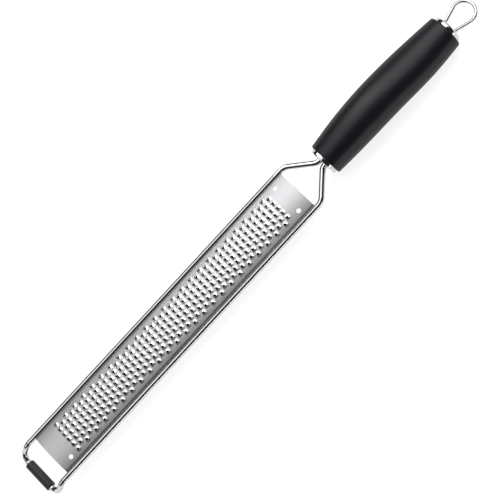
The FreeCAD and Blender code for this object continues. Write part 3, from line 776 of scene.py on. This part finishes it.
    def execute(self, context):
        blade = settings("blade")
        parts, middle = self.patches()
        starts = np.cumsum([0] + [len(points) for points, _ in parts[:-1]])
        flat = np.concatenate([points for points, _ in parts])
        faces = np.concatenate([quads + start for (_, quads), start in zip(parts, starts)])
        # How high each point stands, as a share of the highlight height: the mask of the painted
        # highlight on the lips
        lip = {"lip": np.clip(flat[:, 2] / self.painted_highlight_height, 0.0, 1.0)}
        steel = brushed_blade(blade.steel)
        piece = make_piece("blade_sheet", self.laid(flat), faces, flat[:, :2], steel, 50.0, lip)
        # The sheet's rims, in the mouths and at its cut edges, take the near-black second finish:
        # painted shade.
        piece.data.materials.append(painted_shade_black("sheet_edges_painted_shade"))
        thick = piece.modifiers.new("Sheet thickness", "SOLIDIFY")
        thick.thickness = blade.sheet
        thick.offset = -1.0
        thick.material_offset_rim = 1
        settle(piece, "blade")

        # Dark bowls in the mouths: painted shade.
        flat, faces = self.bowls(middle)
        dark = painted_shade_black("mouth_painted_shade")
        piece = make_piece("tooth_mouth_shade", self.laid(flat), faces, flat[:, :2], dark)
        settle(piece, "blade")
        return {"FINISHED"}


class GRATER_OT_foot_sleeve(bpy.types.Operator):
    """The rubber sleeve on the front bar"""

    bl_idname = "grater.foot_sleeve"
    bl_label = "Foot sleeve"

    def execute(self, context):
        wire = settings("wire")
        loop = settings("loop")
        outer = loop.sleeve_d / 2 - HAIR
        bore = wire.wire / 2 + FIT
        half = loop.sleeve_length / 2
        left = [(-half, bore), (-half, outer)]
        right = [(half, outer), (half, bore)]
        corners = [(0.0, bore), *left, *right, (0.0, bore)]
        edge = 0.45 * MM
        mouth = 0.2 * MM
        profile = rounded_profile(corners, [mouth, edge, edge, mouth])
        origin = (bar_x(), 0.0, loop.sleeve_d / 2)
        points, faces, uv = turned_surface(profile, origin, (0, 1, 0), (0, 0, 1), 64)
        piece = make_piece("foot_tube", points, faces[:, ::-1], uv, foot_rubber(loop.rubber), sharp=60.0)
        settle(piece, "foot_sleeve")
        return {"FINISHED"}


class GRATER_OT_handle(bpy.types.Operator):
    """The moulded handle"""

    bl_idname = "grater.handle"
    bl_label = "Handle"

    around = 96
    map_radius = 13 * MM
    end_rings = np.array([0.0, 3.0, 8.0]) * MM  # radii of the rings that close both ends

    def execute(self, context):
        handle = settings("handle")
        places, middles, wides, highs = handle_stations()
        total = places[-1] - places[0]

        def edge(radius, steps):
            """Distances from an end and the section's inset there, along a quarter circle."""
            turn = np.linspace(0.0, np.pi / 2, steps)
            return radius * (1 - np.sin(turn)), radius * (1 - np.cos(turn))

        front_d, front_in = edge(handle.front_r, 8)
        end_d, end_in = edge(handle.end_r, 12)
        front_d, front_in = front_d[::-1], front_in[::-1]
        body = np.linspace(handle.front_r, total - handle.end_r, 110)[1:-1]
        along = np.concatenate([front_d, body, total - end_d])
        inset = np.concatenate([front_in, np.zeros(len(body)), end_in])
        along = np.clip(along, 0.0, total)
        x = places[0] + along
        middle = smooth_through(places, middles, x)
        wide = smooth_through(places, wides, x) / 2 - inset
        high = smooth_through(places, highs, x) / 2 - inset
        tilt = handle.tail_tilt * np.clip((x - places[3]) / (places[4] - places[3]), 0.0, 1.0)
        x = np.pad(x, DISC_RINGS, mode="edge")
        middle = np.pad(middle, DISC_RINGS, mode="edge")
        tilt = np.pad(tilt, DISC_RINGS, mode="edge")
        wide = np.concatenate([self.end_rings, wide, self.end_rings[::-1]])
        high = np.concatenate([self.end_rings, high, self.end_rings[::-1]])
        turn = np.linspace(0.0, 2 * np.pi, self.around + 1)
        across = wide[:, None] * np.cos(turn)
        up = high[:, None] * np.sin(turn)
        points = np.stack(
            [
                x[:, None] + up * np.sin(tilt)[:, None],
                across,
                middle[:, None] + up * np.cos(tilt)[:, None],
            ],
            axis=-1,
        )
        uv = np.stack(np.broadcast_arrays(x[:, None], self.map_radius * turn[None, :]), axis=-1)
        faces = grid_faces(len(x), self.around + 1)
        plastic = satin_handle(handle.plastic)
        points, uv = points.reshape(-1, 3), uv.reshape(-1, 2)
        piece = make_piece("handle_shell", points, faces, uv, plastic, sharp=55.0)
        settle(piece, "grip")
        return {"FINISHED"}


class GRATER_OT_caps(bpy.types.Operator):
    """The polished steel caps at both ends of the handle"""

    bl_idname = "grater.caps"
    bl_label = "Caps"

    wall = 0.8 * MM
    around = 96
    rim_out = 0.12 * MM  # edge of a cup's rim, outside
    rim_in = 0.1 * MM  # edge of a cup's rim, inside
    hollow_r = 0.3 * MM  # corner inside a cup

    def cup(self, name, node, profile, origin, axis, steel):
        """A cap turned round the axis from its profile, as a piece of its own."""
        points, faces, uv = turned_surface(profile, origin, axis, (0, 1, 0), self.around)
        piece = make_piece(name, points, faces[:, ::-1], uv, steel, sharp=60.0)
        settle(piece, node)

    def front_profile(self):
        handle = settings("handle")
        outer = handle.cap_d / 2
        depth = handle.cap_depth
        inner = outer - self.wall
        outside = [(0.0, 0.0), (0.0, outer), (depth, outer)]
        inside = [(depth, inner), (self.wall, inner), (self.wall, 0.0)]
        return rounded_profile(outside + inside, [0.6 * MM, self.rim_out, self.rim_in, self.hollow_r])

    def end_profile(self):
        """A cup whose closed side is a shallow dome, part of a ball."""
        handle = settings("handle")
        rim = handle.end_cap_depth
        dome = handle.end_cap_dome
        outer = handle.end_cap_d / 2
        inner = outer - self.wall
        ball = (outer**2 + dome**2) / (2 * dome)
        reach = np.linspace(outer, 0.0, 24)
        face = np.stack([rim + dome - ball + np.sqrt(ball**2 - reach**2), reach], axis=1)
        shoulder = 6  # the dome's point at which its rounded edge ends
        inside = [(rim - self.wall, 0.0), (rim - self.wall, inner), (0.0, inner)]
        outside = [(0.0, outer), (rim, outer), tuple(face[shoulder])]
        radii = [self.hollow_r, self.rim_in, self.rim_out, 1.75 * MM]
        start = rounded_profile(inside + outside, radii, 12)[:-1]
        return np.concatenate([start, face[shoulder:]])

    def execute(self, context):
        wire = settings("wire")
        handle = settings("handle")
        steel = polished_wire("cap_polish", handle.steel, 0.10)
        origin = (wire.shoulder_x, 0.0, wire.side_z + wire.neck_rise)
        self.cup("front_cup", "front_cap", self.front_profile(), origin, (1, 0, 0), steel)

        places, middles = handle_stations()[:2]
        tilt = handle.tail_tilt
        axis = np.array([np.cos(tilt), 0.0, -np.sin(tilt)])
        origin = (places[-1], 0.0, middles[-1])
        self.cup("end_cup", "end_cap", self.end_profile(), origin, axis, steel)
        return {"FINISHED"}


class GRATER_OT_hanging_loop(bpy.types.Operator):
    """The thin wire loop at the handle's end"""

    bl_idname = "grater.hanging_loop"
    bl_label = "Hanging loop"

    def execute(self, context):
        handle = settings("handle")
        loop = settings("loop")
        places, middles = handle_stations()[:2]
        leg = loop.leg_pitch / 2
        open_x = handle.end_cap_depth + handle.end_cap_dome + loop.leg_r * np.tan(loop.flare / 2)
        bow_corner = loop.bow_r * np.tan((np.pi / 2 + loop.flare) / 2)
        tip_x = open_x + (bow_corner - leg) / np.tan(loop.flare)
        side = np.array([(-loop.leg_depth, leg), (open_x, leg), (tip_x, bow_corner)])
        tilt = handle.tail_tilt
        origin = np.array([places[-1], 0.0, middles[-1]])
        out = np.array([np.cos(tilt), 0.0, -np.sin(tilt)])
        half = origin + side[:, :1] * out + side[:, 1:] * np.array([0.0, 1.0, 0.0])
        whole = np.concatenate([half, half[::-1] * [1.0, -1.0, 1.0]])
        radii = [loop.leg_r, loop.bow_r]
        path = rounded_path(whole, radii + radii[::-1], 0.5 * MM)
        points, faces, uv = wire_surface(path, loop.wire / 2 - HAIR, 32)
        steel = polished_wire("loop_polish", settings("wire").steel, 0.10)
        piece = make_piece("loop_wire", points, faces, uv, steel, sharp=60.0)
        settle(piece, "hanging_loop")
        return {"FINISHED"}


class GRATER_OT_stage(bpy.types.Operator):
    """Floor, lamps, world and camera"""

    bl_idname = "grater.stage"
    bl_label = "Stage"

    floor_half = 3.0
    glow_share = 0.55
    glow_strength = 1.55
    sensor = 36.0
    focal_pixels = 2160.8
    picture_pixels = 500.0
    # Name, place, target, size along the tool, size across it, and the setting of its brightness
    lamps = (
        ("far_box", (-0.3, 0.54, 1.4), (-0.07, 0.0, 0.0), 1.1, 1.35, "far_level"),
        ("loop_end_box", (0.86, 0.42, 1.15), (-0.05, 0.0, 0.0), 1.25, 1.3, "loop_level"),
        ("rear_box", (0.18, 0.92, 1.27), (0.0, 0.0, 0.0), 0.3, 1.3, "rear_level"),
        ("near_box", (0.1, -1.5, 0.28), (0.05, 0.0, 0.0), 1.6, 0.22, "near_level"),
        ("foot_end_box", (-1.15, 0.3, 0.75), (-0.05, 0.0, 0.0), 0.9, 1.0, "foot_level"),
    )

    def floor(self, color):
        """Matt white paper with a glow for camera, glossy and transmission rays."""
        corners = [(-1, -1, 0), (1, -1, 0), (1, 1, 0), (-1, 1, 0)]
        points = self.floor_half * np.array(corners, dtype=float)
        finish = Finish("floor_paper")
        paper = finish.noise(finish.place(), 60.0, 3.0)
        light = finish.node("ShaderNodeLightPath")
        outputs = light.socket.node.outputs
        seen = Socket(finish, outputs["Is Camera Ray"]) + Socket(finish, outputs["Is Glossy Ray"])
        seen = seen + Socket(finish, outputs["Is Transmission Ray"])
        share = finish.node("ShaderNodeClamp", None, {"Value": seen}) * self.glow_share
        matt = finish.node(
            "ShaderNodeBsdfPrincipled",
            None,
            {
                "Base Color": finish.mixed(paper, rgb(color, 0.99), rgb(color, 1.0)),
                "Roughness": 0.9,
                "Specular IOR Level": 0.1,
            },
        )
        white = {"Color": (1, 1, 1, 1), "Strength": self.glow_strength}
        glow = finish.node("ShaderNodeEmission", None, white)
        both = finish.node("ShaderNodeMixShader", None, {0: share, 1: matt, 2: glow})
        finish.node("ShaderNodeOutputMaterial", None, {"Surface": both})
        piece = make_piece("floor", points, np.array([[0, 1, 2, 3]]), points[:, :2], finish.material)

    def lamp(self, name, place, target, width, depth, brightness):
        """A soft box at a place, its width along the tool, facing the target.

        Its power is its brightness times its area times pi.
        """
        data = bpy.data.lights.new(name, "AREA")
        data.shape = "RECTANGLE"
        data.size = width
        data.size_y = depth
        data.energy = brightness * width * depth * np.pi
        lamp = bpy.data.objects.new(name, data)
        back = (Vector(place) - Vector(target)).normalized()
        up = back.cross(Vector((1.0, 0.0, 0.0))).normalized()
        right = up.cross(back)
        turn = Matrix((right, up, back)).transposed().to_4x4()
        lamp.matrix_world = Matrix.Translation(place) @ turn
        bpy.context.scene.collection.objects.link(lamp)

    def camera(self):
        """The photograph's view: from the near side, high up, rolled so that the tool runs up."""
        turn = np.radians(7.9)
        height = np.radians(69.05)
        roll = np.radians(-54.62)
        distance = 1.330
        target = np.array([-4.35, -3.41, 10.76]) * MM
        flat = np.cos(height)
        back = np.array([np.sin(turn) * flat, -np.cos(turn) * flat, np.sin(height)])
        side = unit(np.cross(-back, [0.0, 0.0, 1.0]))
        top = np.cross(side, -back)
        right = np.cos(roll) * side + np.sin(roll) * top
        up = -np.sin(roll) * side + np.cos(roll) * top
        data = bpy.data.cameras.new("Camera")
        data.lens = self.sensor * self.focal_pixels / self.picture_pixels
        data.sensor_width = self.sensor
        data.clip_end = 20.0
        camera = bpy.data.objects.new("Camera", data)
        matrix = np.eye(4)
        matrix[:3, 0], matrix[:3, 1], matrix[:3, 2] = right, up, back
        matrix[:3, 3] = target + distance * back
        camera.matrix_world = Matrix(matrix.tolist())
        bpy.context.scene.collection.objects.link(camera)
        bpy.context.scene.camera = camera

    def world(self):
        world = bpy.data.worlds.new("studio")
        world.use_nodes = True
        background = world.node_tree.nodes["Background"]
        background.inputs["Color"].default_value = (1.0, 1.0, 1.0, 1.0)
        background.inputs["Strength"].default_value = settings("stage").room
        bpy.context.scene.world = world

    def execute(self, context):
        stage = settings("stage")
        self.floor(stage.floor)
        self.world()
        for name, place, target, width, depth, brightness in self.lamps:
            self.lamp(name, place, target, width, depth, getattr(stage, brightness))
        self.camera()
        context.scene.view_settings.view_transform = "Standard"
        return {"FINISHED"}


PIECE_OPERATORS = (
    GRATER_OT_wire_frame,
    GRATER_OT_blade,
    GRATER_OT_foot_sleeve,
    GRATER_OT_handle,
    GRATER_OT_caps,
    GRATER_OT_hanging_loop,
    GRATER_OT_stage,
)


class GRATER_PT_panel(bpy.types.Panel):
    """The grater's pieces and stage"""

    bl_idname = "GRATER_PT_panel"
    bl_label = "Grater"
    bl_space_type = "VIEW_3D"
    bl_region_type = "UI"
    bl_category = "Grater"

    def draw(self, context):
        for operator in PIECE_OPERATORS:
            self.layout.operator(operator.bl_idname)
        for key in SETTINGS:
            box = self.layout.box()
            box.label(text=key.capitalize())
            group = getattr(context.scene, f"grater_{key}")
            for name in group.bl_rna.properties.keys():
                if name not in {"rna_type", "name"}:
                    box.prop(group, name)


SETTINGS = {
    "wire": WireSettings,
    "blade": BladeSettings,
    "handle": HandleSettings,
    "loop": LoopSettings,
    "stage": StageSettings,
}


def register():
    for item in (*SETTINGS.values(), *PIECE_OPERATORS, GRATER_PT_panel):
        bpy.utils.register_class(item)
    for key, group in SETTINGS.items():
        setattr(bpy.types.Scene, f"grater_{key}", bpy.props.PointerProperty(type=group))


def unregister():
    for key in SETTINGS:
        delattr(bpy.types.Scene, f"grater_{key}")
    for item in reversed((*SETTINGS.values(), *PIECE_OPERATORS, GRATER_PT_panel)):
        bpy.utils.unregister_class(item)


def main():
    register()
    bpy.ops.grater.wire_frame()
    bpy.ops.grater.blade()
    bpy.ops.grater.foot_sleeve()
    bpy.ops.grater.handle()
    bpy.ops.grater.caps()
    bpy.ops.grater.hanging_loop()
    bpy.ops.grater.stage()


if __name__ == "__main__":
    main()
